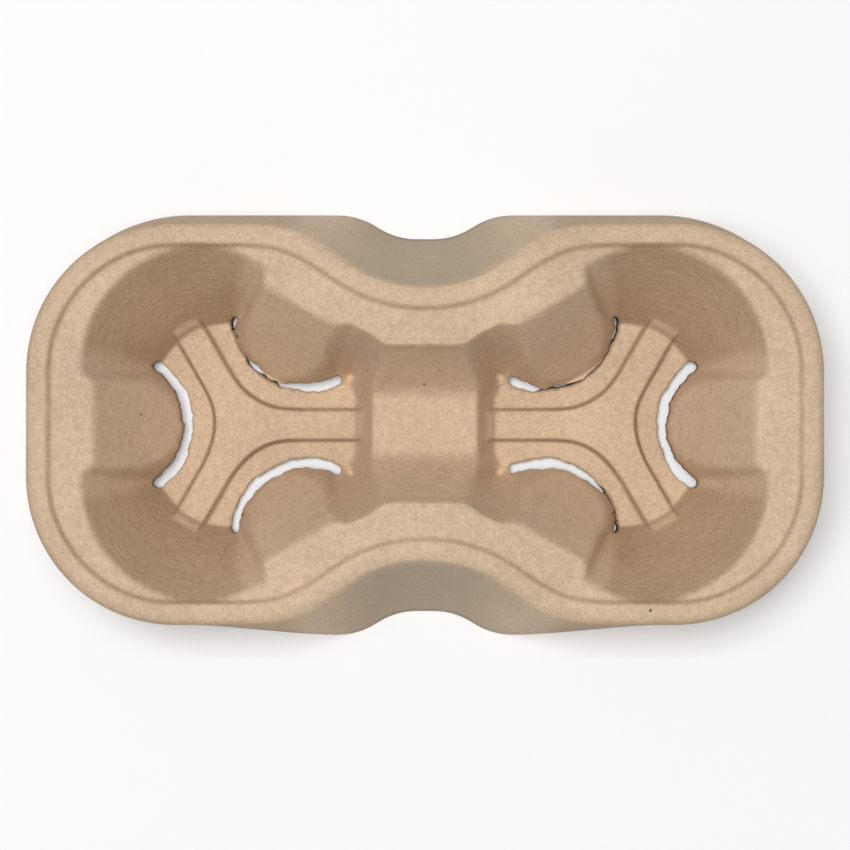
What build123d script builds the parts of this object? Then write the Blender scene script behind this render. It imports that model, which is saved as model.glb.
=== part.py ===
from build123d import *
from math import atan, cos, degrees, hypot, radians, sin, tan
import os

# A two-cup carrier, moulded in one piece from paper pulp. X runs through both cups, Z is up, and the skirt
# stands on z = 0. The top side is one form, the underside is the same form set one wall lower and further
# in, and the tray is what lies between them.

# Wall and heights
wall = 1.6
height = 45
band_height = 2
floor_height = 3
saddle_height = 18

# Skirt, a round-cornered block that narrows towards the rim
foot_length = 217
foot_width = 115
foot_corner_radius = 44
skirt_draft = 7.1
rim_edge_radius = 3.5

# Waist pressed into both long sides, drawn at the rim, shallower at the foot
waist_depth = 16.4
waist_flat = 22
waist_slope = 34
waist_radius = 35
waist_draft = 19
shoulder_radius = 46
shoulder_margin = 1
shoulder_share = 0.63

# Raised band round the rim, with a step down to the land
band_width = 6
band_edge_chamfer = 0.9

# Wells, each a cone that stands on the floor, and how far the rim's end lies past their centres
well_end_reach = 53.4
floor_radius = 28
well_mouth_radius = 39.5

# Pockets that widen each well towards the corners, and the land left between them and the band
pocket_centre_reach = 17.5
pocket_foot_radius = 9.8
pocket_margin = 1.3

# Fingers, leaning out from the foot to the head
finger_foot_reach = 14.2
finger_foot_radius = 21
finger_foot_width = 35.6
finger_head_reach = 36.5
finger_side_angle = 28
finger_block_reach = 80

# Channel between the wells, with the saddle that bridges it
bridge_land_width = 9
channel_draft = 12
saddle_gap = 29
saddle_run = 6
saddle_side_radius = 6.5

# Three-armed rib on each floor
rib_length = 34
rib_width = 8.4
rib_height = 2.5
rib_draft = 15
rib_corner_radius = 14

# Slits that free the feet of the fingers
slit_width = 3.4
slit_sweep = 98
slit_bite = 0.3

# Cuts run this far past what they cut, and points this near to each other count as one
overrun = 20
tolerance = 0.1

# Directions round a well, from the side away from the bridge
turn = 360
third = turn / 3
finger_angles = (0, third, -third)
pocket_angles = (third / 2, -third / 2)
rib_angles = (third / 2, -third / 2, turn / 2)

rim_inset = height * tan(radians(skirt_draft))
rim_reach = foot_length / 2 - rim_inset
rim_side = foot_width / 2 - rim_inset
land_height = height - band_height
well_depth = land_height - floor_height
well_centre = rim_reach - well_end_reach


def growth(depth, run, rise):
    """How much wider a sloped wall's section is, one depth lower, for a wall of even thickness."""
    slope = run / rise
    return depth * (hypot(1, slope) - slope)


def waist_points(margin, inset, share):
    """Corner, shoulder and waist of a quarter of the rim's plan, with a share of the waist pressed in."""
    side, slope = rim_side + margin, radians(waist_slope)
    pressed = (waist_depth + margin) * share
    flat = waist_flat / 2 + inset * tan(slope / 2) + (waist_depth + margin - pressed) / tan(slope)
    corner = (rim_reach + margin - inset, side - inset)
    return corner, (flat + pressed / tan(slope), side - inset), (flat, side - pressed - inset)


def four_fold(points):
    """A plan whose outline runs through the points of one quarter and their mirror images."""
    half = [*points, *[(-x, y) for x, y in reversed(points)]]
    return Polygon(*half, *[(-x, -y) for x, y in half], align=None)


def rounded(plan, point, radius):
    """The plan with the corner at a point, and its mirror images, rounded."""
    x, y = point
    return fillet([v for v in plan.vertices() if hypot(abs(v.X) - x, abs(v.Y) - y) < tolerance], radius)


def skirt_block(depth):
    """The skirt as a solid block, its top edge rounded outside and bevelled inside."""
    foot = RectangleRounded(foot_length - depth * 2, foot_width - depth * 2, foot_corner_radius - depth)
    block = extrude(foot, height, taper=skirt_draft)
    inset = depth - height * tan(radians(waist_draft))
    whole, part = (waist_points(shoulder_margin, inset, share) for share in (1, shoulder_share))
    block &= extrude(rounded(four_fold(whole), whole[2], waist_radius + inset), height, taper=waist_draft)
    block &= extrude(rounded(four_fold(part), part[1], shoulder_radius - inset), height, taper=waist_draft)
    if depth:
        block &= Pos(0, 0, -depth) * Box(foot_length, foot_width, height * 2)
        return chamfer(block.faces().sort_by(Axis.Z)[-1].edges(), rim_edge_radius - depth)
    return fillet(block.faces().sort_by(Axis.Z)[-1].edges(), rim_edge_radius)


def banded_block(depth):
    """The skirt block with the room inside the raised band taken out, down to the land."""
    inset = band_width - depth
    points = waist_points(0, inset, 1)
    land = four_fold(points)
    radii = (foot_corner_radius - rim_inset - inset, shoulder_radius - inset, waist_radius + inset)
    for point, radius in zip(points, radii):
        land = rounded(land, point, radius)
    block = skirt_block(depth) - Pos(0, 0, land_height - depth) * extrude(land, overrun)
    if depth:
        return block
    top = block.faces().sort_by(Axis.Z)[-1]
    return chamfer(top.inner_wires()[0].edges(), band_edge_chamfer)


def flare(depth, foot_radius, mouth_radius):
    """An upright cone from the floor to the land."""
    grow = growth(depth, mouth_radius - foot_radius, well_depth)
    cone = Cone(foot_radius + grow, mouth_radius + grow, well_depth, align=(Align.CENTER, Align.CENTER, Align.MIN))
    return Pos(0, 0, floor_height - depth) * cone


def pocket(depth):
    """The cone of one pocket, as wide at the land as the band beside it allows."""
    angle = radians(third / 2)
    to_side = rim_side - pocket_centre_reach * sin(angle)
    to_end = well_end_reach - pocket_centre_reach * cos(angle)
    mouth_radius = min(to_side, to_end) - band_width - pocket_margin
    return Pos(pocket_centre_reach, 0) * flare(depth, pocket_foot_radius, mouth_radius)


def finger(depth):
    """One finger's block: a face that leans out, its two sides turned back, all within a round column."""
    lean = finger_head_reach - finger_foot_reach
    grow = growth(depth, lean, well_depth)
    foot, half = finger_foot_reach + grow, finger_foot_width / 2
    side = half + (finger_block_reach - foot) / tan(radians(finger_side_angle))
    front, back = [(foot, half), (foot, -half)], [(finger_block_reach, -side), (finger_block_reach, side)]
    block = extrude(Polygon(*front, *back, align=None), well_depth, taper=degrees(atan(lean / well_depth)))
    column = Pos(finger_foot_reach + finger_foot_radius, 0) * Cylinder(finger_foot_radius - depth, height * 2)
    return Pos(0, 0, floor_height - depth) * block & column


def well(depth):
    """The room of one well, round the Z axis."""
    room = flare(depth, floor_radius, well_mouth_radius)
    for angle in pocket_angles:
        room += Rot(0, 0, angle) * pocket(depth)
    for angle in finger_angles:
        room -= Rot(0, 0, angle) * finger(depth)
    return room


def saddle(depth):
    """The block that bridges the channel, longer at its foot than at its top."""
    rise = saddle_height - floor_height
    grow = growth(depth, saddle_run, rise)
    foot = well_centre - saddle_gap + saddle_run - grow
    top = foot - saddle_run * 2
    high, low = saddle_height - depth, floor_height - rise - depth
    side = Polygon((-top, high), (top, high), (foot, low), (-foot, low), align=None)
    return extrude(Plane.XZ * side, foot_width, both=True)


def channel(depth):
    """The room between the wells, over the saddle."""
    lean = well_depth * tan(radians(channel_draft))
    wide = rim_side - waist_depth - band_width - bridge_land_width + growth(depth, lean, well_depth)
    low, high = floor_height - depth, land_height - depth
    profile = Polygon((lean - wide, low), (wide - lean, low), (wide, high), (-wide, high), align=None)
    room = extrude(Plane.YZ * profile, well_centre, both=True) - saddle(depth)
    level = saddle_height - depth
    sides = [e for e in room.edges() if hypot(e.center().X, e.center().Z - level) < tolerance]
    return fillet(sides, saddle_side_radius + depth)


def rib(depth):
    """The raised three-armed rib of a floor, round the well's centre."""
    arm = Rectangle(rib_length, rib_width - depth * 2, align=(Align.MIN, Align.CENTER))
    plan = Sketch() + [Rot(0, 0, angle) * arm for angle in rib_angles]
    inner = plan.vertices().sort_by(lambda v: hypot(v.X, v.Y))[:3]
    plan = fillet(inner, rib_corner_radius + depth)
    return Pos(0, 0, floor_height - depth) * extrude(plan, rib_height, taper=rib_draft)


def both_ends(piece):
    """A piece drawn round a well's centre, at the right well and, turned half round, at the left one."""
    right = Pos(well_centre, 0) * piece
    return [right, Rot(0, 0, turn / 2) * right]


def slits():
    """The curved cuts that free the feet of one well's fingers."""
    radius = finger_foot_radius + slit_bite - slit_width / 2
    slot = SlotArc(CenterArc((0, 0), radius, (turn - slit_sweep) / 2, slit_sweep), slit_width)
    place = Pos(finger_foot_reach + finger_foot_radius, 0)
    plan = Sketch() + [Rot(0, 0, angle) * place * slot for angle in finger_angles]
    return extrude(plan, saddle_height)


def form(depth):
    """The tray's top side at depth zero, and its underside at one wall, as a solid."""
    return banded_block(depth) - both_ends(well(depth)) - channel(depth) + both_ends(rib(depth))


def carrier_tray():
    """The whole moulding."""
    return form(0) - form(wall) - both_ends(slits())


os.makedirs("parts", exist_ok=True)
export_step(carrier_tray(), "parts/carrier_tray.step")
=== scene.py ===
"""A two-cup carrier of moulded paper pulp: one closed grid surface for the tray, the pulp's material and a
plain studio."""
import math

import bpy
import numpy as np
from bpy.props import FloatProperty, FloatVectorProperty, IntProperty, PointerProperty
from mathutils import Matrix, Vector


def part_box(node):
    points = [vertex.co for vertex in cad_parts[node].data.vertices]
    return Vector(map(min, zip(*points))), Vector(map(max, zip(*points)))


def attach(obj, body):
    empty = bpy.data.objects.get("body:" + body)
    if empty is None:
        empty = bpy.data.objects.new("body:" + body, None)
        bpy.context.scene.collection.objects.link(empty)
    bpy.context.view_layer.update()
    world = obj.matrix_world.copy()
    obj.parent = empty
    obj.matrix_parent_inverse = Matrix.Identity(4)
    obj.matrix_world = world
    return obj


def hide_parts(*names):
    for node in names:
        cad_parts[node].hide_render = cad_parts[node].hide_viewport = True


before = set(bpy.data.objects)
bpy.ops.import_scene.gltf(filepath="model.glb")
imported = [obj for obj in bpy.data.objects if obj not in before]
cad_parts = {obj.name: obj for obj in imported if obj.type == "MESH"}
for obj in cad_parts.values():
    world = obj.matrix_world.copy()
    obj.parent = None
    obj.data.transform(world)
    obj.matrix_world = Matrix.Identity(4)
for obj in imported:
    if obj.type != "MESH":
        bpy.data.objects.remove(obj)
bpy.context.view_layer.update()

LOW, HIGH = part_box("carrier_tray")

bl_info = {
    "name": "Moulded Cup Carrier",
    "version": (1, 0, 0),
    "blender": (4, 5, 0),
    "location": "3D View > Sidebar > Cup Carrier",
    "description": "Moulds a two-cup carrier tray from paper pulp",
    "category": "Add Mesh",
}

MM = 0.001
WHITE = (1.0, 1.0, 1.0, 1.0)


class CarrierSizes(bpy.types.PropertyGroup):
    """Sizes and colours of the tray."""
    length: FloatProperty(name="Length", description="Length of the skirt's foot",
                          default=HIGH.x - LOW.x, unit="LENGTH")
    width: FloatProperty(name="Width", description="Width of the skirt's foot",
                         default=HIGH.y - LOW.y, unit="LENGTH")
    height: FloatProperty(name="Height", description="Height of the rim over the table",
                          default=HIGH.z, unit="LENGTH")
    wall: FloatProperty(name="Wall", description="Thickness of the pulp", default=1.6 * MM, unit="LENGTH")
    band_height: FloatProperty(name="Band height", description="Height of the rim band over the land",
                               default=2 * MM, unit="LENGTH")
    rim_rounding: FloatProperty(name="Rim rounding", description="Radius of the rim's outer edge",
                                default=3.2 * MM, unit="LENGTH")
    rib_height: FloatProperty(name="Rib height", description="Height of the three-armed rib over the floor",
                              default=2.5 * MM, unit="LENGTH")
    slit_width: FloatProperty(name="Slit width", description="Width of a slit where it is fully open",
                              default=3.4 * MM, unit="LENGTH")
    unevenness: FloatProperty(name="Unevenness", description="How far the drying pulp has warped",
                              default=0.16 * MM, unit="LENGTH")
    columns: IntProperty(name="Columns", description="Grid columns round half the tray", default=256, min=64)
    rows: IntProperty(name="Rows", description="Grid rows from the middle line to the land's edge",
                      default=76, min=30)
    pulp: FloatVectorProperty(name="Pulp", description="Colour of the dry pulp", subtype="COLOR", size=3,
                              default=(0.63, 0.465, 0.318), min=0, max=1)
    fibre: FloatVectorProperty(name="Fibre", description="Colour of the darker fibres", subtype="COLOR",
                               size=3, default=(0.38, 0.26, 0.165), min=0, max=1)
    # Painted shade: a darker, greyer colour for the outer skirt at the waist and the rim's outer rows, whose
    # steep faces get little light.
    painted_skirt_shade: FloatVectorProperty(name="Painted Skirt Shade", description="Colour of the greyer outer skirt",
                                   subtype="COLOR", size=3, default=(0.355, 0.293, 0.205), min=0, max=1)


# The mould's shapes, in metres. FOOT is a slope's place at its low end and MOUTH or CREST the one at its top.

THIRD = math.tau / 3
FLOOR = 3 * MM
SADDLE = 18 * MM

# Skirt and waist, with how far the front side bows in at its foot
FOOT_CORNER = 44 * MM
SKIRT_SLOPE = math.tan(math.radians(7.1))
WAIST_SLOPE = math.tan(math.radians(19))
WAIST_ANGLE = math.radians(34)
WAIST_FLAT = 11 * MM
WAIST_DEPTH = 16.4 * MM
WAIST_RADIUS = 35 * MM
WAIST_WIDENING = 2 * MM
SHOULDER_RADIUS = 46 * MM
SHOULDER_MARGIN = 1 * MM
SHOULDER_BLEND, SHOULDER_FOOT_BLEND = 2 * MM, 1.5 * MM
SIDE_BOW = 2.8 * MM
BOW_START, BOW_RISE = 22 * MM, 46 * MM
BOW_END, BOW_FALL = 98 * MM, 26 * MM
BOW_FRONT = 20 * MM

# Band: how far its step lies from the rim, and the two parts of the step
BAND_FOOT, BAND_CREST = 7.5 * MM, 4.2 * MM
STEP_SHARE, STEP_SPEED, STEP_DELAY = 0.55, 1.9, 0.62
LAND_BLEND = 2 * MM

# Wells, pockets and the corners beside the bridge, all cones
WELL_END_REACH = 53.4 * MM
WELL_FOOT, WELL_MOUTH = 28 * MM, 39.5 * MM
POCKET_REACH = 17.5 * MM
POCKET_FOOT, POCKET_MOUTH = 10.4 * MM, 30.7 * MM
BRIDGE_CORNER_X, BRIDGE_CORNER_Y = 20.5 * MM, 13 * MM
BRIDGE_CORNER_FOOT, BRIDGE_CORNER_MOUTH = 0.8 * MM, 12 * MM
POCKET_BLEND, ROOM_BLEND, CORNER_BLEND, FLOOR_BLEND = 10 * MM, 9 * MM, 7 * MM, 2 * MM

# Channel between the wells, with the saddle across it and the banks on the saddle
CHANNEL_FOOT, CHANNEL_MOUTH = 11.2 * MM, 20.5 * MM
CHANNEL_PAST_SADDLE, CHANNEL_END_SLOPE = 9 * MM, 1.6
SADDLE_TOP, SADDLE_FOOT = 13.8 * MM, 19 * MM
BANK_FOOT, BANK_MOUTH = 8.6 * MM, 20.9 * MM
SADDLE_BLEND, BANK_BLEND, CHANNEL_BLEND = 1.2 * MM, 5 * MM, 4 * MM

# Fingers, each a leaning face within a round column
FINGER_NAMES = ("end", "back", "front")
FINGER_ANGLES = (0, THIRD, -THIRD)
FINGER_FOOT, FINGER_HALF = 14.2 * MM, 17.8 * MM
FINGER_HEADS = (36.3 * MM, 34.9 * MM, 34.9 * MM)
FINGER_TURN = math.radians(28)
FACE_BLEND, FINGER_BLEND = 1.5 * MM, 10 * MM
COLUMN_RADIUS = 21 * MM
COLUMN_EDGE, COLUMN_EDGE_GROWTH = 3.4 * MM, 7 * MM

# Rib on the floor, which fades where the walls rise
RIB_HALF, RIB_EDGE, RIB_CORNER = 4.2 * MM, 1.5 * MM, 7.5 * MM
RIB_FADE_START, RIB_FADE = 1 * MM, 7 * MM

# Slits: half their sweep, and how far from them their edges are moved
SLIT_SWEEP = math.radians(57)
SLIT_BITE = 0.3 * MM
FINGER_FADE, LEDGE_FADE = 7 * MM, 2.5 * MM
LEDGE = 1.6 * MM
RAGGED = 0.2 * MM

# Grid: reach of the middle line, and rows on the band, the rim's rounding and the skirt, top and underside
SPINE_REACH, SPINE_SHARE = 60 * MM, 1.6
OUTLINE_RAYS, RAY_SAMPLES, HALVINGS = 4001, 361, 44
LAND_EDGE = 0.6 * MM
BAND_INSETS = np.array([7.6, 7.1, 6.6, 6.2, 5.9, 5.6, 5.3, 5.0, 4.6, 4.2, 3.7]) * MM
UNDER_INSETS = np.array([7.0, 6.2, 5.4, 4.7, 4.0, 3.4]) * MM
RIM_ANGLES = np.radians([78, 62, 46, 30, 15, 0])
UNDER_RIM_ANGLES = np.radians([60, 30, 0])
SKIRT_ROWS, UNDER_SKIRT_ROWS, SHADED_RIM_ROWS = 16, 8, 3
DENT, DENT_WAVES = 0.12 * MM, 310


def low_blend(a, b, k):
    """The lower of two surfaces, with the ridge between them rounded over the height k."""
    near = np.maximum(k - np.abs(a - b), 0)
    return np.minimum(a, b) - near ** 2 / (4 * k)


def high_blend(a, b, k):
    """The higher of two surfaces, with the valley between them rounded over the height k."""
    return -low_blend(-a, -b, k)


def ease(x):
    """Nought below 0, one above 1, and a smooth S between."""
    x = np.clip(x, 0, 1)
    return x * x * (3 - 2 * x)


def skirt_distance(x, y, z, t):
    """Distance outside the skirt's plan at height z. The foot's plan is a rectangle with round corners, and
    the waist's is a flat, an arc, a slope and an arc; both draw in with height, each by its own slope."""
    front = ease(-y / BOW_FRONT)
    x, y = np.abs(x), np.abs(y)
    foot_share = 1 - z / t.height
    round_corner = FOOT_CORNER - z * SKIRT_SLOPE
    bow = SIDE_BOW * ease((x - BOW_START) / BOW_RISE) * ease((BOW_END - x) / BOW_FALL) * foot_share
    px, py = x - (t.length / 2 - FOOT_CORNER), y + bow * front - (t.width / 2 - FOOT_CORNER)
    block = np.hypot(np.maximum(px, 0), np.maximum(py, 0)) + np.minimum(np.maximum(px, py), 0) - round_corner
    side = t.width / 2 - t.height * SKIRT_SLOPE
    low = side - WAIST_DEPTH
    high = side + SHOULDER_MARGIN
    lift = math.tan(WAIST_ANGLE / 2)
    flat_end = WAIST_FLAT - WAIST_RADIUS * lift
    top_x = WAIST_FLAT + (high - low) / math.tan(WAIST_ANGLE)
    side_start = top_x + SHOULDER_RADIUS * lift
    x = np.maximum(x - WAIST_WIDENING * foot_share, 0)
    waist_arc = WAIST_RADIUS - np.hypot(np.maximum(x - flat_end, 0), y - low - WAIST_RADIUS)
    shoulder_arc = np.hypot(np.minimum(x - side_start, 0), y - high + SHOULDER_RADIUS) - SHOULDER_RADIUS
    sine, cosine = math.sin(WAIST_ANGLE), math.cos(WAIST_ANGLE)
    slope = (y - low) * cosine - (x - WAIST_FLAT) * sine
    in_waist = np.arctan2(np.maximum(x - flat_end, 0), low + WAIST_RADIUS - y) < WAIST_ANGLE
    in_shoulder = np.arctan2(np.maximum(side_start - x, 0), y - high + SHOULDER_RADIUS) < WAIST_ANGLE
    middle = (WAIST_FLAT + top_x) / 2
    along = (x - middle) * cosine + (y - (low + high) / 2) * sine
    inner = np.where(in_waist, waist_arc, slope)
    outer = np.where(in_shoulder, shoulder_arc, slope)
    waist = np.where(along < 0, inner, outer) - (t.height - z) * WAIST_SLOPE
    return high_blend(block, waist, SHOULDER_BLEND + SHOULDER_FOOT_BLEND * foot_share)


def well_centre(t):
    """How far the right well's centre lies from the tray's middle."""
    return t.length / 2 - t.height * SKIRT_SLOPE - WELL_END_REACH


def spread(depth, run, rise):
    """How much wider a slope's section is one depth lower, for a wall of even thickness."""
    slope = run / rise
    return depth * (math.hypot(1, slope) - slope)


def wall_rise(distance, foot, mouth, depth, rise):
    """Height, over the level of its foot, of a slope that runs out from its foot and rises to its mouth."""
    return (distance - foot - spread(depth, mouth - foot, rise)) * rise / (mouth - foot)


def finger_frame(x, y, t):
    """Each finger's own u, out of the well, and v, across it, stacked for the three fingers of a well."""
    centre = well_centre(t)
    turns = np.array(FINGER_ANGLES).reshape((-1,) + (1,) * np.ndim(x))
    u = (x - centre) * np.cos(turns) + y * np.sin(turns)
    v = y * np.cos(turns) - (x - centre) * np.sin(turns)
    return u, v


def finger_face(u, v, depth, land, head):
    """Height of a finger's face: a plane that leans out, and two more turned back at its sides."""
    rise = land - FLOOR
    run = head - FINGER_FOOT
    foot = FINGER_FOOT + spread(depth, run, rise)
    front = u - foot
    side = front * math.cos(FINGER_TURN) - (np.abs(v) - FINGER_HALF) * math.sin(FINGER_TURN)
    return FLOOR - depth + low_blend(front, side, FACE_BLEND) * rise / run


def rib_share(x, y, t):
    """One on the three-armed rib, nought off it, with soft edges and round inner corners."""
    centre = well_centre(t)
    off = None
    for turn in (math.pi, THIRD / 2, -THIRD / 2):
        u = (x - centre) * math.cos(turn) + y * math.sin(turn)
        v = y * math.cos(turn) - (x - centre) * math.sin(turn)
        arm = np.maximum(np.abs(v) - RIB_HALF, -u - RIB_HALF)
        off = arm if off is None else low_blend(off, arm, RIB_CORNER)
    return ease(0.5 - off / RIB_EDGE)


def mould_height(x, y, depth, t):
    """Height of the mould's right half, x at least nought. The well's cone, two pocket cones, the channel and
    its corners make the room. The fingers' blocks, the saddle and its banks stand in it, the rib lies on the
    floor, the land limits it and the band steps up along the rim. At one wall's depth it is the underside."""
    land = t.height - t.band_height
    rise = land - FLOOR
    low = FLOOR - depth
    u, v = x - well_centre(t), np.abs(y)
    cone = wall_rise(np.hypot(u, v), WELL_FOOT, WELL_MOUTH, depth, rise)
    reach_u, reach_v = POCKET_REACH * math.cos(THIRD / 2), POCKET_REACH * math.sin(THIRD / 2)
    pocket = wall_rise(np.hypot(u - reach_u, v - reach_v), POCKET_FOOT, POCKET_MOUTH, depth, rise)
    well = low + low_blend(cone, pocket, POCKET_BLEND)

    channel = low + wall_rise(v, CHANNEL_FOOT, CHANNEL_MOUTH, depth, rise)
    channel = channel + np.maximum(x - SADDLE_FOOT - CHANNEL_PAST_SADDLE, 0) * CHANNEL_END_SLOPE
    run = SADDLE_FOOT - SADDLE_TOP
    saddle_edge = SADDLE_TOP - spread(depth, run, SADDLE - FLOOR)
    saddle = SADDLE - depth - np.maximum(np.abs(x) - saddle_edge, 0) * (SADDLE - FLOOR) / run
    saddle = low_blend(saddle, np.full_like(x, SADDLE - depth), SADDLE_BLEND)
    bank = wall_rise(v, BANK_FOOT, BANK_MOUTH, depth, land - SADDLE)
    bank = high_blend(bank, np.zeros_like(x), BANK_BLEND)
    channel = high_blend(channel, saddle + bank, CHANNEL_BLEND)

    room = low_blend(well, channel, ROOM_BLEND)
    room = high_blend(room, np.full_like(x, low), FLOOR_BLEND)
    fu, fv = finger_frame(x, y, t)
    for u, v, head in zip(fu, fv, FINGER_HEADS):
        column = np.hypot(u - FINGER_FOOT - COLUMN_RADIUS, v)
        face = np.maximum(finger_face(u, v, depth, land, head), low)
        edge = COLUMN_EDGE + COLUMN_EDGE_GROWTH * ease((face - low) / rise)
        share = ease((COLUMN_RADIUS - depth - column) / edge)
        room = high_blend(room, low + share * (face - low) - (1 - share) * FINGER_BLEND, FINGER_BLEND)
    corner = np.hypot(x - BRIDGE_CORNER_X, np.abs(y) - BRIDGE_CORNER_Y)
    corner = low + wall_rise(corner, BRIDGE_CORNER_FOOT, BRIDGE_CORNER_MOUTH, depth, rise)
    room = np.maximum(low_blend(room, np.maximum(corner, saddle), CORNER_BLEND), low)
    fade = ease((room - low - RIB_FADE_START) / RIB_FADE)
    room = room + t.rib_height * rib_share(x, y, t) * (1 - fade)

    surface = low_blend(room, np.full_like(x, land - depth), LAND_BLEND)
    inset = -skirt_distance(x, y, t.height, t) + depth
    climb = np.clip((BAND_FOOT - inset) / (BAND_FOOT - BAND_CREST), 0, 1)
    step = ease(climb) * (1 - STEP_SHARE) + ease(climb * STEP_SPEED - STEP_DELAY) * STEP_SHARE
    return surface + t.band_height * step


# The tray's grid

def rim_outline(t, count):
    """Points along the right half of the rim, from the waist behind to the waist in front, at equal steps.
    Each is found on a ray from the middle by halving the span that holds the rim."""
    angles = np.linspace(math.pi / 2, -math.pi / 2, OUTLINE_RAYS)
    dx, dy = np.cos(angles), np.sin(angles)
    reach = cast(np.zeros_like(dx), dx, dy, t.height, 0, t, t.length)
    x, y = reach * dx, reach * dy
    run = np.concatenate([[0], np.cumsum(np.hypot(np.diff(x), np.diff(y)))])
    steps = np.linspace(0, run[-1], count + 1)
    return np.interp(steps, run, x), np.interp(steps, run, y)


def cast(start, dx, dy, z, inset, t, reach):
    """How far along each ray, from a start on the middle line, the skirt's plan at height z lies inset."""
    near, far = np.zeros_like(dx), np.full_like(dx, reach)
    for _ in range(HALVINGS):
        middle = (near + far) / 2
        outside = skirt_distance(start + middle * dx, middle * dy, z, t) > -inset
        far = np.where(outside, middle, far)
        near = np.where(outside, near, middle)
    return (near + far) / 2


def even_rows(start, dx, dy, reach, t):
    """Shares of each ray's reach for its rows, at equal steps of a weighted length along the mould's surface:
    a bend counts for more than a flat. They are evened out over the neighbouring rays."""
    bend_weight, bend_size, bend_limit, flat_weight, neighbours = 0.9, 2 * MM, 2, 0.35, 13
    fine = np.linspace(0, 1, RAY_SAMPLES)[None, :]
    far = fine * reach[:, None]
    x, y = start[:, None] + far * dx[:, None], far * dy[:, None]
    z = mould_height(x, y, 0.0, t)
    dr, dz = np.diff(far, axis=1), np.diff(z, axis=1)
    tilt = np.arctan2(dz, dr)
    bend = np.abs(np.diff(tilt, axis=1, prepend=tilt[:, :1])) / dr
    weight = np.hypot(dr, dz) * (1 + bend_weight * np.minimum(bend * bend_size, bend_limit))
    weight = weight + dr * flat_weight
    run = np.concatenate([np.zeros((len(dx), 1)), np.cumsum(weight, axis=1)], axis=1)
    run = run / run[:, -1:]
    share = np.linspace(0, 1, t.rows + 1)
    rows = np.array([np.interp(share, run[i], fine[0]) for i in range(len(dx))])
    kernel = np.hanning(neighbours)[1:-1]
    kernel = kernel / kernel.sum()
    half = len(kernel) // 2
    padded = np.concatenate([rows[half:0:-1], rows, rows[-2:-half - 2:-1]])
    return sum(part * padded[i:i + len(rows)] for i, part in enumerate(kernel))


# How far each slit stands open, from 0, pressed shut, to 1, at nine places along its sweep
OPEN_SHARES = {
    "right_end": (0.7, 0.8, 0.8, 0.75, 0.7, 0.75, 0.85, 0.85, 0.7),
    "right_back": (0.14, 0.3, 0.16, 0.15, 0.18, 0.32, 0.2, 0.65, 0.5),
    "right_front": (0.5, 0.75, 0.8, 0.75, 0.65, 0.5, 0.15, 0.25, 0.12),
    "left_end": (0.7, 0.75, 0.8, 0.8, 0.75, 0.75, 0.8, 0.75, 0.6),
    "left_back": (0.2, 0.17, 0.14, 0.42, 0.14, 0.55, 0.65, 0.7, 0.5),
    "left_front": (0.6, 0.75, 0.8, 0.75, 0.75, 0.8, 0.8, 0.6, 0.5),
}


def slit_middle(t):
    """Radius of a slit's middle arc round its finger's column."""
    return COLUMN_RADIUS + SLIT_BITE - t.slit_width / 2


def slit_place(u, v, t):
    """For points in a finger's frame: their place from the column's middle, towards the well and across, the
    nearest point of the slit's middle arc in the same frame, and the distance from it."""
    middle = slit_middle(t)
    pu, pv = FINGER_FOOT + COLUMN_RADIUS - u, v
    end = SLIT_SWEEP - t.slit_width / 2 / middle
    angle = np.clip(np.arctan2(pv, pu), -end, end)
    near_u, near_v = middle * np.cos(angle), middle * np.sin(angle)
    return pu, pv, near_u, near_v, np.hypot(pu - near_u, pv - near_v)


def turned_back(pu, pv, turn, t):
    """Places from a column's middle put back into the right half's frame."""
    u = FINGER_FOOT + COLUMN_RADIUS - pu
    return (well_centre(t) + u * math.cos(turn) - pv * math.sin(turn),
            u * math.sin(turn) + pv * math.cos(turn))


def ragged(share, seed):
    """A torn edge's wander along a slit: a few sines of the sweep whose phases come from the seed."""
    waves = (7, 13, 23, 37, 61)
    phases = np.random.default_rng(seed).uniform(0, math.tau, len(waves))
    fading = 0.45
    return RAGGED * sum(np.sin(share * wave + phase) / (1 + n * fading)
                        for n, (wave, phase) in enumerate(zip(waves, phases)))


def snap_to_slits(x, y, border, t):
    """Moves the points on the slits' borders straight onto the slits' outlines."""
    snap_reach, least = 2 * MM, 0.01 * MM
    fu, fv = finger_frame(x, y, t)
    for turn, u, v in zip(FINGER_ANGLES, fu, fv):
        pu, pv, near_u, near_v, off = slit_place(u, v, t)
        move = border & (np.abs(off - t.slit_width / 2) < snap_reach)
        scale = t.slit_width / 2 / np.maximum(off, least)
        snapped = turned_back(near_u + (pu - near_u) * scale, near_v + (pv - near_v) * scale, turn, t)
        x, y = np.where(move, snapped[0], x), np.where(move, snapped[1], y)
    return x, y


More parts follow.
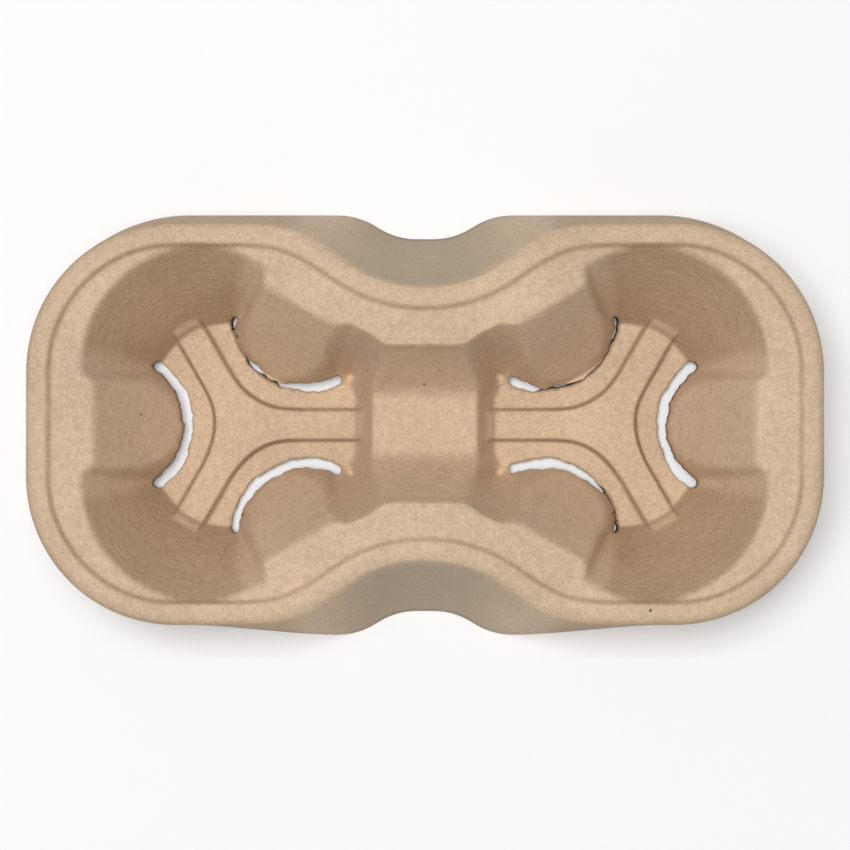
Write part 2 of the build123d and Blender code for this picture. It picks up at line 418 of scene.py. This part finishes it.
def press_slits(x, y, z, depth, side, t):
    """Presses each slit as far shut as its table says. The finger's edge moves out over the floor's edge,
    less and less up the finger, and follows its leaning face down. The floor's edge only wanders, but on the
    underside it keeps a ledge under a slit that is shut."""
    land = t.height - t.band_height
    middle = slit_middle(t)
    sweep_end, overlap, clearance, half_open, fade_power = 1.02, 0.2 * MM, 0.35 * MM, 0.5, 6
    fu, fv = finger_frame(x, y, t)
    out_x, out_y, out_z = x.copy(), y.copy(), z.copy()
    for name, turn, u, v, head in zip(FINGER_NAMES, FINGER_ANGLES, fu, fv, FINGER_HEADS):
        slit = side + "_" + name
        pu, pv = slit_place(u, v, t)[:2]
        radius = np.hypot(pu, pv)
        share = np.arctan2(pv, pu) / SLIT_SWEEP
        places = np.linspace(-1, 1, len(OPEN_SHARES[slit]))
        openness = np.interp(share, places, OPEN_SHARES[slit])
        seed = sum(map(ord, slit))
        swept = np.abs(share) < sweep_end
        inner = swept & (radius < middle)
        behind = np.maximum(middle - t.slit_width / 2 - radius, 0)
        past = np.maximum(radius - middle - t.slit_width / 2, 0)
        outer = swept & (radius >= middle) & (past < LEDGE_FADE)
        ends = np.sqrt(np.clip(1 - np.abs(share) ** fade_power, 0, 1))
        shut = (1 - openness) * (t.slit_width + overlap) + ragged(share, seed)
        ledge = (1 - ease(openness / half_open)) * LEDGE if depth else 0
        finger_move = shut * ends * (1 - ease(behind / FINGER_FADE))
        land_move = -(ledge + ragged(share, seed + 1)) * ends * (1 - ease(past / LEDGE_FADE))
        move = np.where(inner, finger_move, 0) + np.where(outer, land_move, 0)
        scale = 1 + move / np.maximum(radius, 1 * MM)
        near = inner & (behind < FINGER_FADE)
        moved_u = FINGER_FOOT + COLUMN_RADIUS - pu * scale
        drop = finger_face(moved_u, pv * scale, depth, land, head) - finger_face(u, v, depth, land, head)
        floor = FLOOR - depth + t.wall + clearance
        lowered = np.maximum(z + drop, np.minimum(floor, z))
        moved_x, moved_y = turned_back(pu * scale, pv * scale, turn, t)
        out_x, out_y = np.where(near | outer, moved_x, out_x), np.where(near | outer, moved_y, out_y)
        out_z = np.where(near, lowered, out_z)
    return out_x, out_y, out_z


def warp(x, y, z, t):
    """The pulp's slight sag: a few long waves, only downwards, and none at the foot. The waves' counts to a
    metre, phases and heights are chosen, and highest is their sum at most."""
    wave = np.sin(x * 47 + 1.1) * np.cos(y * 61 - 0.4) + 0.6 * np.sin(x * 113 - y * 87 + 2.2) \
        + 0.35 * np.cos(x * 211 + y * 163) + 0.2 * np.sin(x * 487 + 0.7) * np.sin(y * 433)
    highest, fade = 2.15, 12 * MM
    return z - t.unevenness * (1 + wave / highest) * ease(z / fade)


def skirt_rows(levels, insets, start, dx, dy, t, reach):
    """Rows of points on the skirt, one per level, each inset from the skirt's plan there."""
    rows = []
    for level, inset in zip(levels, insets):
        far = cast(start, dx, dy, level, inset, t, reach)
        rows.append((start + far * dx, far * dy, np.full_like(dx, level)))
    return rows


def half_tray(t):
    """The right half's rows, top side and underside, as arrays of columns, with the cells that are slit and
    the last row up to which the underside has each row that the top side has."""
    outline_x, outline_y = rim_outline(t, t.columns)
    outline_x[0] = outline_x[-1] = 0
    share = np.linspace(0, 1, t.columns + 1)
    start = SPINE_REACH * (1 - np.abs(1 - 2 * share) ** SPINE_SHARE)
    length = np.hypot(outline_x - start, outline_y)
    dx, dy = (outline_x - start) / length, outline_y / length
    edge = cast(start, dx, dy, t.height, BAND_FOOT + LAND_EDGE, t, t.width)
    far = even_rows(start, dx, dy, edge, t).T * edge
    x, y = start + far * dx, far * dy
    y[0] = 0

    fu, fv = finger_frame((x[:-1, :-1] + x[1:, 1:] + x[:-1, 1:] + x[1:, :-1]) / 4,
                          (y[:-1, :-1] + y[1:, 1:] + y[:-1, 1:] + y[1:, :-1]) / 4, t)
    slit = np.zeros(fu.shape[1:], bool)
    for u, v in zip(fu, fv):
        slit |= slit_place(u, v, t)[-1] < t.slit_width / 2
    solid_corner = np.zeros(x.shape, bool)
    slit_corner = np.zeros(x.shape, bool)
    for r in (0, 1):
        for c in (0, 1):
            solid_corner[r:r + slit.shape[0], c:c + slit.shape[1]] |= ~slit
            slit_corner[r:r + slit.shape[0], c:c + slit.shape[1]] |= slit
    x, y = snap_to_slits(x, y, solid_corner & slit_corner, t)

    rays = (start, dx, dy, t, t.width)
    last = np.max(np.nonzero(slit.any(axis=1))[0]) + 2
    keep = list(range(last + 1)) + list(range(last + 2, t.rows, 2)) + [t.rows]
    top = grown_rows(x, y, BAND_INSETS, 0.0, RIM_ANGLES, SKIRT_ROWS, rays)
    low = grown_rows(x[keep], y[keep], UNDER_INSETS, t.wall, UNDER_RIM_ANGLES, UNDER_SKIRT_ROWS, rays)
    return top, low, slit, last


def grown_rows(x, y, insets, depth, rim_angles, skirt_count, rays):
    """The land's rows with those of the band, the rim's rounding and the skirt outside them. The skirt's top
    side has slight dents."""
    start, dx, dy, t, reach = rays
    rounding = t.rim_rounding - depth
    levels = t.height - depth - rounding * (1 - np.sin(rim_angles))
    down = np.linspace(levels[-1], 0, skirt_count + 1)[1:]
    dents = (0 if depth else DENT) * (1 + np.sin(down * DENT_WAVES)) * (down > 0)
    rows = skirt_rows([t.height] * len(insets), insets, start, dx, dy, t, reach)
    rows += skirt_rows(levels, depth + rounding * (1 - np.cos(rim_angles)), start, dx, dy, t, reach)
    rows += skirt_rows(down, depth + dents, start, dx, dy, t, reach)
    x = np.concatenate([x, [row[0] for row in rows]])
    y = np.concatenate([y, [row[1] for row in rows]])
    count = len(x) - len(levels) - len(down)
    height = mould_height(x[:count], y[:count], depth, t)
    return x, y, np.concatenate([height, [row[2] for row in rows[len(insets):]]])


def whole_ring(rows, depth, t):
    """Right and left halves of rows of points, joined into whole rings, with the slits pressed and the pulp
    sagged; the left half is the right one seen in a mirror, but its slits have their own shapes."""
    x, y, z = rows
    right = press_slits(x, y, z, depth, "right", t)
    left = press_slits(x, y, z, depth, "left", t)
    count = x.shape[1] - 1
    back = slice(count - 1, 0, -1)
    ring_x = np.concatenate([right[0], -left[0][:, back]], axis=1)
    ring_y = np.concatenate([right[1], left[1][:, back]], axis=1)
    ring_z = np.concatenate([right[2], left[2][:, back]], axis=1)
    return ring_x, ring_y, warp(ring_x, ring_y, ring_z, t)


def ring_index(rows, columns, first):
    """Vertex numbers of a ring grid whose row 0, the middle line, is shared by its front and back columns."""
    total = columns * 2
    ring = np.arange(total)
    ring = np.minimum(ring, total - ring)
    nearest = np.minimum(ring, columns - ring)
    left = np.arange(total) > columns
    spine = np.where(left & (nearest > 0), columns // 2 + nearest, nearest)
    rest = np.arange((rows - 1) * total).reshape(rows - 1, total) + columns + 1
    return first + np.concatenate([spine[None, :], rest])


def spine_points(ring, columns):
    """The middle line's own points, in the order that ring_index numbers them."""
    x, y, z = (part[0] for part in ring)
    half = columns // 2
    picked = np.concatenate([np.arange(half + 1), 2 * columns - np.arange(1, half + 1)])
    return np.stack([x[picked], np.zeros(columns + 1), z[picked]], axis=1)


def grid_quads(index, keep_cell):
    """Faces between neighbouring rows and columns of a ring grid, where keep_cell says so."""
    along = np.roll(index, -1, axis=1)
    quads = np.stack([index[:-1], along[:-1], along[1:], index[1:]], axis=-1)
    return quads[keep_cell]


def border_edges(index, gone):
    """The edges between a gone cell and a kept one, each as it runs round the kept cell."""
    along = np.roll(index, -1, axis=1)
    corners = (index[:-1], index[1:], along[1:], along[:-1])
    kept = ~gone
    found = []
    sides = ((0, 1, np.roll(gone, 1, axis=1)), (2, 3, np.roll(gone, -1, axis=1)))
    for a, b, beside in sides:
        mask = kept & beside
        found.append(np.stack([corners[a][mask], corners[b][mask]], axis=1))
    above = np.zeros_like(gone)
    above[:-1] = gone[1:]
    below = np.zeros_like(gone)
    below[1:] = gone[:-1]
    for a, b, beside in ((1, 2, above), (3, 0, below)):
        mask = kept & beside
        found.append(np.stack([corners[a][mask], corners[b][mask]], axis=1))
    return np.concatenate(found)


def mesh_object(name, points, quads, shares):
    """A smooth-shaded mesh object from points, four-cornered faces and named values at the points."""
    mesh = bpy.data.meshes.new(name)
    used = np.unique(quads)
    renumber = np.zeros(len(points), int)
    renumber[used] = np.arange(len(used))
    points, quads = points[used], renumber[quads]
    mesh.from_pydata(points.tolist(), [], quads.tolist())
    for key, values in shares.items():
        layer = mesh.attributes.new(key, "FLOAT", "POINT")
        layer.data.foreach_set("value", values[used].astype(np.float32))
    mesh.polygons.foreach_set("use_smooth", np.ones(len(mesh.polygons), bool))
    mesh.validate()
    mesh.update()
    piece = bpy.data.objects.new(name, mesh)
    bpy.context.scene.collection.objects.link(piece)
    return piece


def tray_mesh(t):
    """The whole tray as one closed surface: the top side, the underside turned over, a wall through every
    slit and the skirt's foot."""
    top, low, slit, last = half_tray(t)
    columns = t.columns
    ring_top, ring_low = whole_ring(top, 0.0, t), whole_ring(low, t.wall, t)
    top_index = ring_index(len(top[0]), columns, 0)
    top_count = top_index.max() + 1
    low_index = ring_index(len(low[0]), columns, top_count)

    gone = np.zeros((len(top[0]) - 1, columns * 2), bool)
    gone[:slit.shape[0], :columns] = slit
    gone[:slit.shape[0], columns:] = slit[:, ::-1]
    low_gone = np.zeros((len(low[0]) - 1, columns * 2), bool)
    low_gone[:last] = gone[:last]

    top_quads = grid_quads(top_index, ~gone)
    low_quads = grid_quads(low_index, ~low_gone)[:, ::-1]
    edges = border_edges(top_index[:last + 1], gone[:last])
    below = border_edges(low_index[:last + 1], gone[:last])
    walls = np.stack([edges[:, 0], edges[:, 1], below[:, 1], below[:, 0]], axis=1)
    foot, foot_low = top_index[-1], low_index[-1]
    soles = np.stack([foot, np.roll(foot, -1), np.roll(foot_low, -1), foot_low], axis=1)

    points = np.concatenate([
        spine_points(ring_top, columns), np.stack(ring_top, axis=-1)[1:].reshape(-1, 3),
        spine_points(ring_low, columns), np.stack(ring_low, axis=-1)[1:].reshape(-1, 3)])
    quads = np.concatenate([top_quads, low_quads, walls, soles])

    slit_edges = np.unique(np.concatenate([edges.ravel(), below.ravel()]))
    # The skirt's rows and the rim's outer rows, which carry the skirt's painted shade.
    outer_skirt = top_index[-SKIRT_ROWS - SHADED_RIM_ROWS:].ravel()
    return mesh_object("pulp_tray", points, quads, pulp_shares(points, slit_edges, outer_skirt, t))


def pulp_shares(points, slit_edges, outer_skirt, t):
    """Values at the tray's points that steer its looks. The skirt's is high at the waist and marks painted
    shade on the outer skirt; the torn one at the slits' edges marks their torn fibres and painted shade in
    the gap; the crease's, painted shade, runs along the rib and the band's step; and the pocket wall's on the
    steep walls between the fingers steers their ripple and their painted shade."""
    x, y, z = np.abs(points[:, 0]), points[:, 1], points[:, 2]
    waist_reach, waist_fade, least = 28 * MM, 18 * MM, 0.06
    # Painted shade on the outer skirt, strongest at the waist and slight everywhere else.
    skirt = np.zeros(len(points))
    skirt[outer_skirt] = ease((waist_reach - x[outer_skirt]) / waist_fade) * (1 - least) + least
    # The slits' edges: brown for the torn fibres and painted shade in the gap between a slit's edges.
    torn = np.zeros(len(points))
    torn[slit_edges] = 1.0
    # Painted shade along the rib's edges and the band's step, where shade falls in the crease.
    floor_top, floor_reach = 9 * MM, 40 * MM
    on_floor = (z < floor_top) & (np.hypot(x - well_centre(t), y) < floor_reach)
    rib = rib_share(x, y, t) * on_floor
    step_inset, step_width, step_share, step_depth = 5.8 * MM, 0.55 * MM, 0.5, 3.5 * MM
    inset = -skirt_distance(points[:, 0], y, t.height, t)
    step = step_share * np.exp(-((inset - step_inset) / step_width) ** 2) * (z > t.height - step_depth)
    # The pocket wall's share steers the steep walls' ripple and the painted shade that makes them browner and
    # darker.
    wall_start, wall_fade, column_fade = 30 * MM, 8 * MM, 4 * MM
    pocket_wall = ease((x - wall_start) / wall_fade) * (1 - skirt)
    for u, v in zip(*finger_frame(x, y, t)):
        column = np.hypot(u - FINGER_FOOT - COLUMN_RADIUS, v)
        pocket_wall = pocket_wall * (1 - ease((COLUMN_RADIUS - column) / column_fade) * (u > FINGER_FOOT))
    return {"skirt": skirt, "torn": torn, "crease": np.maximum(4 * rib * (1 - rib), step),
            "pocket_wall": pocket_wall}


# The pulp

def linked(tree, node_type, inputs=None, **settings):
    """A new node with its settings, its inputs set to values or joined to other nodes' outputs."""
    node = tree.nodes.new(node_type)
    for key, value in settings.items():
        setattr(node, key, value)
    for key, value in (inputs or {}).items():
        if isinstance(value, bpy.types.NodeSocket):
            tree.links.new(value, node.inputs[key])
        else:
            node.inputs[key].default_value = value
    return node


def maths(tree, operation, a, b=0.0):
    """The output of a Math node."""
    return linked(tree, "ShaderNodeMath", {0: a, 1: b}, operation=operation).outputs[0]


def between(tree, value, low, high, to_low=0.0, to_high=1.0):
    """A value's place between low and high, eased, as a share between to_low and to_high."""
    node = linked(tree, "ShaderNodeMapRange", {"Value": value, "From Min": low, "From Max": high,
                                               "To Min": to_low, "To Max": to_high},
                  interpolation_type="SMOOTHSTEP")
    return node.outputs["Result"]


def noise(tree, place, scale, detail=3.0, roughness=0.55, distortion=0.0):
    """The grey output of a noise texture."""
    node = linked(tree, "ShaderNodeTexNoise", {"Vector": place, "Scale": scale, "Detail": detail,
                                               "Roughness": roughness, "Distortion": distortion})
    return node.outputs[0]


def mixed(tree, share, a, b, blend="MIX"):
    """Two colours mixed by a share."""
    node = linked(tree, "ShaderNodeMix", data_type="RGBA", blend_type=blend)
    for socket, value in zip((node.inputs[0], node.inputs[6], node.inputs[7]), (share, a, b)):
        if isinstance(value, bpy.types.NodeSocket):
            tree.links.new(value, socket)
        else:
            socket.default_value = value
    return node.outputs[2]


def stretched(tree, place, scale):
    """A place stretched by a scale along each axis."""
    return linked(tree, "ShaderNodeMapping", {"Vector": place, "Scale": scale}).outputs[0]


def pulp_grain_group():
    """The grain of pressed pulp, from a place in metres: a mottle, darker fibres, specks and a relief. Scales
    are in waves to a metre."""
    group = bpy.data.node_groups.new("pulp_grain", "ShaderNodeTree")
    face = group.interface
    face.new_socket("Place", in_out="INPUT", socket_type="NodeSocketVector")
    face.new_socket("Ripple", in_out="INPUT", socket_type="NodeSocketFloat")
    for name in ("Mottle", "Fibres", "Specks", "Relief"):
        face.new_socket(name, in_out="OUTPUT", socket_type="NodeSocketFloat")
    entry = group.nodes.new("NodeGroupInput")
    out = group.nodes.new("NodeGroupOutput")
    place, ripple = entry.outputs["Place"], entry.outputs["Ripple"]

    broad_scale, flake_scale, fine_scale = 38, 520, 1900
    broad_share, flake_share, fine_share = 0.22, 0.3, 0.48
    broad = noise(group, place, broad_scale)
    flakes = noise(group, place, flake_scale, detail=4, roughness=0.65)
    fine = noise(group, place, fine_scale, roughness=0.7)
    small = maths(group, "ADD", maths(group, "MULTIPLY", flakes, flake_share),
                  maths(group, "MULTIPLY", fine, fine_share))
    mottle = maths(group, "ADD", maths(group, "MULTIPLY", broad, broad_share), small)

    strand_low, strand_high = 0.655, 0.75
    strands = None
    for turn, scale in ((0.4, (700, 2600, 1800)), (1.9, (2400, 640, 1800)), (2.9, (800, 2500, 2000))):
        turned = linked(group, "ShaderNodeMapping", {"Vector": place, "Rotation": (0.2, 0.3, turn)})
        strand = stretched(group, turned.outputs[0], scale)
        strand = noise(group, strand, 1.0, detail=1, roughness=0.4)
        strand = between(group, strand, strand_low, strand_high)
        strands = strand if strands is None else maths(group, "MAXIMUM", strands, strand)

    speck_scale, bare_share, dot_core, dot_edge = 120.0, 0.955, 0.035, 0.065
    cells = linked(group, "ShaderNodeTexVoronoi", {"Vector": place, "Scale": speck_scale, "Randomness": 1.0})
    chosen = linked(group, "ShaderNodeSeparateColor", {"Color": cells.outputs["Color"]})
    rare = maths(group, "GREATER_THAN", chosen.outputs[0], bare_share)
    dot = between(group, cells.outputs["Distance"], dot_core, dot_edge, 1.0, 0.0)
    specks = maths(group, "MULTIPLY", rare, dot)

    wave_scale, wave_height, flake_height, fine_height = (110, 110, 700), 1.25, 0.55, 0.3
    waves = noise(group, stretched(group, place, wave_scale), 1.0, roughness=0.65, distortion=0.8)
    waves = maths(group, "MULTIPLY", maths(group, "MULTIPLY", waves, ripple), wave_height)
    relief = maths(group, "ADD", maths(group, "MULTIPLY", flakes, flake_height),
                   maths(group, "MULTIPLY", fine, fine_height))
    relief = maths(group, "ADD", relief, waves)
    for name, value in (("Mottle", mottle), ("Fibres", strands), ("Specks", specks), ("Relief", relief)):
        group.links.new(value, out.inputs[name])
    return group


def colour4(colour, scale=1.0):
    """A colour property as four numbers."""
    return (colour[0] * scale, colour[1] * scale, colour[2] * scale, 1.0)


def mesh_share(tree, name):
    """A named value of the mesh's points."""
    return linked(tree, "ShaderNodeAttribute", attribute_name=name).outputs["Fac"]


def tinted(tree, share, colour, tint):
    """A colour that is multiplied by a tint as far as a share says."""
    return mixed(tree, share, colour, mixed(tree, 1.0, colour, (*tint, 1.0), "MULTIPLY"))


def pulp_material(t):
    """Rough unbleached pulp: mottled, flecked with darker fibres and a few specks, rippled on the steep
    walls.
    Painted shade makes it browner on the steep walls, darker in the creases and darker and greyer on the
    waist's skirt. The slits' torn edges are brown, partly for the torn fibres and partly painted shade."""
    material = bpy.data.materials.new("moulded_pulp")
    material.use_nodes = True
    tree = material.node_tree
    tree.nodes.clear()
    place = linked(tree, "ShaderNodeTexCoord").outputs["Object"]
    normal = linked(tree, "ShaderNodeNewGeometry").outputs["True Normal"]
    upright = maths(tree, "ABSOLUTE", linked(tree, "ShaderNodeSeparateXYZ", {0: normal}).outputs[2])
    steepest, flattest, least_ripple = 0.35, 0.85, 0.3
    steep = between(tree, upright, steepest, flattest, 1.0, 0.0)
    pocket_wall = mesh_share(tree, "pocket_wall")
    rippled = maths(tree, "ADD", least_ripple, maths(tree, "MULTIPLY", pocket_wall, 1 - least_ripple))
    grain = linked(tree, "ShaderNodeGroup", node_tree=pulp_grain_group())
    tree.links.new(place, grain.inputs["Place"])
    tree.links.new(maths(tree, "MULTIPLY", steep, rippled), grain.inputs["Ripple"])

    darkest, lightest, dark_mottle, light_mottle = 0.36, 0.64, 0.82, 1.16
    mottle = between(tree, grain.outputs["Mottle"], darkest, lightest)
    colour = mixed(tree, mottle, colour4(t.pulp, dark_mottle), colour4(t.pulp, light_mottle))
    # The wall, crease and skirt tints and shares below are painted shade; the torn share is partly painted
    # shade.
    wall_shade_tint, crease_shade_tint, speck_colour = (0.8, 0.76, 0.7), (0.62, 0.55, 0.46), (0.05, 0.035, 0.025, 1.0)
    crease_shade_share, skirt_shade_share, fibre_share, torn_and_gap_shade_share, speck_share = 0.7, 0.6, 0.3, 0.7, 0.8
    torn_start, relief_height, relief_strength = 0.2, 0.35 * MM, 0.75
    # Painted shade: the steep pocket walls turned browner and darker by their steepness.
    colour = tinted(tree, maths(tree, "MULTIPLY", steep, pocket_wall), colour, wall_shade_tint)
    # Painted shade: darker in the creases along the rib and the band's step.
    painted_crease_shade = maths(tree, "MULTIPLY", mesh_share(tree, "crease"), crease_shade_share)
    colour = tinted(tree, painted_crease_shade, colour, crease_shade_tint)
    # Painted shade: the outer skirt mixed towards a darker, greyer colour, most at the waist.
    painted_skirt_shade = maths(tree, "MULTIPLY", mesh_share(tree, "skirt"), skirt_shade_share)
    colour = mixed(tree, painted_skirt_shade, colour, colour4(t.painted_skirt_shade))
    fibres = maths(tree, "MULTIPLY", grain.outputs["Fibres"], fibre_share)
    colour = mixed(tree, fibres, colour, colour4(t.fibre))
    # Brown at the slits' edges: partly the torn fibres, partly painted shade in the slit's gap.
    torn = maths(tree, "MULTIPLY", between(tree, mesh_share(tree, "torn"), torn_start, 1.0), torn_and_gap_shade_share)
    colour = mixed(tree, torn, colour, colour4(t.fibre))
    specks = maths(tree, "MULTIPLY", grain.outputs["Specks"], speck_share)
    colour = mixed(tree, specks, colour, speck_colour)

    bump = linked(tree, "ShaderNodeBump", {"Height": grain.outputs["Relief"], "Distance": relief_height,
                                           "Strength": relief_strength})
    shader = linked(tree, "ShaderNodeBsdfPrincipled", {
        "Base Color": colour, "Normal": bump.outputs[0], "Roughness": 0.93, "Specular IOR Level": 0.18,
        "Sheen Weight": 0.08})
    out = tree.nodes.new("ShaderNodeOutputMaterial")
    tree.links.new(shader.outputs[0], out.inputs["Surface"])
    return material


# The studio

class StudioSizes(bpy.types.PropertyGroup):
    """Sizes and light of the studio."""
    floor_reach: FloatProperty(name="Floor reach", description="Half the width of the floor", default=3.0,
                               unit="LENGTH")
    lamp_size: FloatProperty(name="Lamp size", description="Width of the overhead lamp", default=0.5,
                             unit="LENGTH")
    camera_height: FloatProperty(name="Camera height", description="Height of the camera over the rim",
                                 default=0.7, unit="LENGTH")
    framing: FloatProperty(name="Framing", description="Width that the picture takes in at the rim",
                           default=0.219, unit="LENGTH")
    lean: FloatProperty(name="Lean", description="How far the camera stands towards the front",
                        default=0.006, unit="LENGTH")
    lamp_power: FloatProperty(name="Lamp power", description="Power of the overhead lamp", default=12.7,
                              unit="POWER")
    room_light: FloatProperty(name="Room light", description="Strength of the room's even light",
                              default=0.28, min=0)
    floor_glow: FloatProperty(name="Floor glow", description="Share of plain white in the floor by the tray",
                              default=0.08, min=0, max=1, subtype="FACTOR")


def seen_directly(tree):
    """One for rays that come from the camera, from gloss or through glass, and nought for the light's."""
    path = linked(tree, "ShaderNodeLightPath")
    seen = maths(tree, "MAXIMUM", path.outputs["Is Camera Ray"], path.outputs["Is Glossy Ray"])
    return maths(tree, "MAXIMUM", seen, path.outputs["Is Transmission Ray"])


def studio_floor(s):
    """A wide pale floor that takes the tray's shadow. Seen directly it turns plain white further out."""
    reach = s.floor_reach
    corners = [(-reach, -reach, 0), (reach, -reach, 0), (reach, reach, 0), (-reach, reach, 0)]
    mesh = bpy.data.meshes.new("studio_floor")
    mesh.from_pydata(corners, [], [(0, 1, 2, 3)])
    floor = bpy.data.objects.new("studio_floor", mesh)
    clearance = 0.05 * MM
    floor.location.z = -clearance
    bpy.context.scene.collection.objects.link(floor)
    material = bpy.data.materials.new("pale_floor")
    material.use_nodes = True
    tree = material.node_tree
    tree.nodes.clear()
    pale = linked(tree, "ShaderNodeBsdfDiffuse", {"Color": (0.968, 0.976, 0.984, 1.0)})
    white = linked(tree, "ShaderNodeEmission", {"Color": WHITE, "Strength": 1.0})
    place = linked(tree, "ShaderNodeTexCoord").outputs["Object"]
    away = linked(tree, "ShaderNodeVectorMath", {0: place}, operation="LENGTH").outputs["Value"]
    glow_start, glow_end = 0.07, 0.4
    glow = between(tree, away, glow_start, glow_end, s.floor_glow, 1.0)
    share = maths(tree, "MULTIPLY", seen_directly(tree), glow)
    mix = linked(tree, "ShaderNodeMixShader", {0: share, 1: pale.outputs[0], 2: white.outputs[0]})
    out = tree.nodes.new("ShaderNodeOutputMaterial")
    tree.links.new(mix.outputs[0], out.inputs["Surface"])
    mesh.materials.append(material)


def studio_light(s):
    """One large soft lamp overhead, a little to the left and back, and even light from the room."""
    lamp = bpy.data.lights.new("soft_lamp", "AREA")
    lamp.shape, lamp.size = "SQUARE", s.lamp_size
    lamp.energy = s.lamp_power
    holder = bpy.data.objects.new("soft_lamp", lamp)
    side, back, high = -0.13, 0.08, 1.3
    holder.location = (side, back, high)
    holder.rotation_euler = (-math.atan2(back, high), math.atan2(side, high), 0)
    bpy.context.scene.collection.objects.link(holder)
    world = bpy.data.worlds.new("studio_room")
    bpy.context.scene.world = world
    world.use_nodes = True
    tree = world.node_tree
    tree.nodes.clear()
    light = linked(tree, "ShaderNodeBackground", {"Color": WHITE, "Strength": s.room_light})
    white = linked(tree, "ShaderNodeBackground", {"Color": WHITE, "Strength": 1.0})
    mix = linked(tree, "ShaderNodeMixShader", {0: seen_directly(tree), 1: light.outputs[0],
                                               2: white.outputs[0]})
    out = tree.nodes.new("ShaderNodeOutputWorld")
    tree.links.new(mix.outputs[0], out.inputs["Surface"])


def studio_camera(s, height):
    """A camera high over the tray, looking almost straight down."""
    data = bpy.data.cameras.new("overhead_camera")
    data.lens = data.sensor_width * s.camera_height / s.framing
    data.clip_end = 20
    camera = bpy.data.objects.new("overhead_camera", data)
    camera.location = (0, -s.lean, height + s.camera_height)
    camera.rotation_euler = (math.atan2(s.lean, s.camera_height + height), 0, 0)
    bpy.context.scene.collection.objects.link(camera)
    bpy.context.scene.camera = camera


# Operators and panel

class CARRIER_OT_mould_tray(bpy.types.Operator):
    """Mould the pulp tray with both wells, its fingers and its skirt."""
    bl_idname = "carrier.mould_tray"
    bl_label = "Mould Tray"

    def execute(self, context):
        t = context.scene.carrier_sizes
        tray = tray_mesh(t)
        tray.data.materials.append(pulp_material(t))
        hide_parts("carrier_tray")
        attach(tray, "root")
        return {"FINISHED"}


class CARRIER_OT_set_stage(bpy.types.Operator):
    """Set the floor, the soft light and the overhead camera."""
    bl_idname = "carrier.set_stage"
    bl_label = "Set Stage"

    def execute(self, context):
        s = context.scene.carrier_studio
        studio_floor(s)
        studio_light(s)
        studio_camera(s, context.scene.carrier_sizes.height)
        context.scene.view_settings.view_transform = "Standard"
        return {"FINISHED"}


class CARRIER_PT_panel(bpy.types.Panel):
    """Lists the tray's sizes, the studio's and their operators."""
    bl_label = "Cup Carrier"
    bl_idname = "CARRIER_PT_panel"
    bl_space_type = "VIEW_3D"
    bl_region_type = "UI"
    bl_category = "Cup Carrier"

    def draw(self, context):
        for group in (context.scene.carrier_sizes, context.scene.carrier_studio):
            box = self.layout.box()
            for name in group.bl_rna.properties.keys():
                if name not in ("rna_type", "name"):
                    box.prop(group, name)
        for operator in OPERATORS:
            self.layout.operator(operator.bl_idname)


OPERATORS = (CARRIER_OT_mould_tray, CARRIER_OT_set_stage)
CLASSES = (CarrierSizes, StudioSizes, *OPERATORS, CARRIER_PT_panel)


def register():
    for cls in CLASSES:
        bpy.utils.register_class(cls)
    bpy.types.Scene.carrier_sizes = PointerProperty(type=CarrierSizes)
    bpy.types.Scene.carrier_studio = PointerProperty(type=StudioSizes)


def unregister():
    del bpy.types.Scene.carrier_studio
    del bpy.types.Scene.carrier_sizes
    for cls in reversed(CLASSES):
        bpy.utils.unregister_class(cls)


def main():
    register()
    bpy.ops.carrier.mould_tray()
    bpy.ops.carrier.set_stage()


if __name__ == "__main__":
    main()
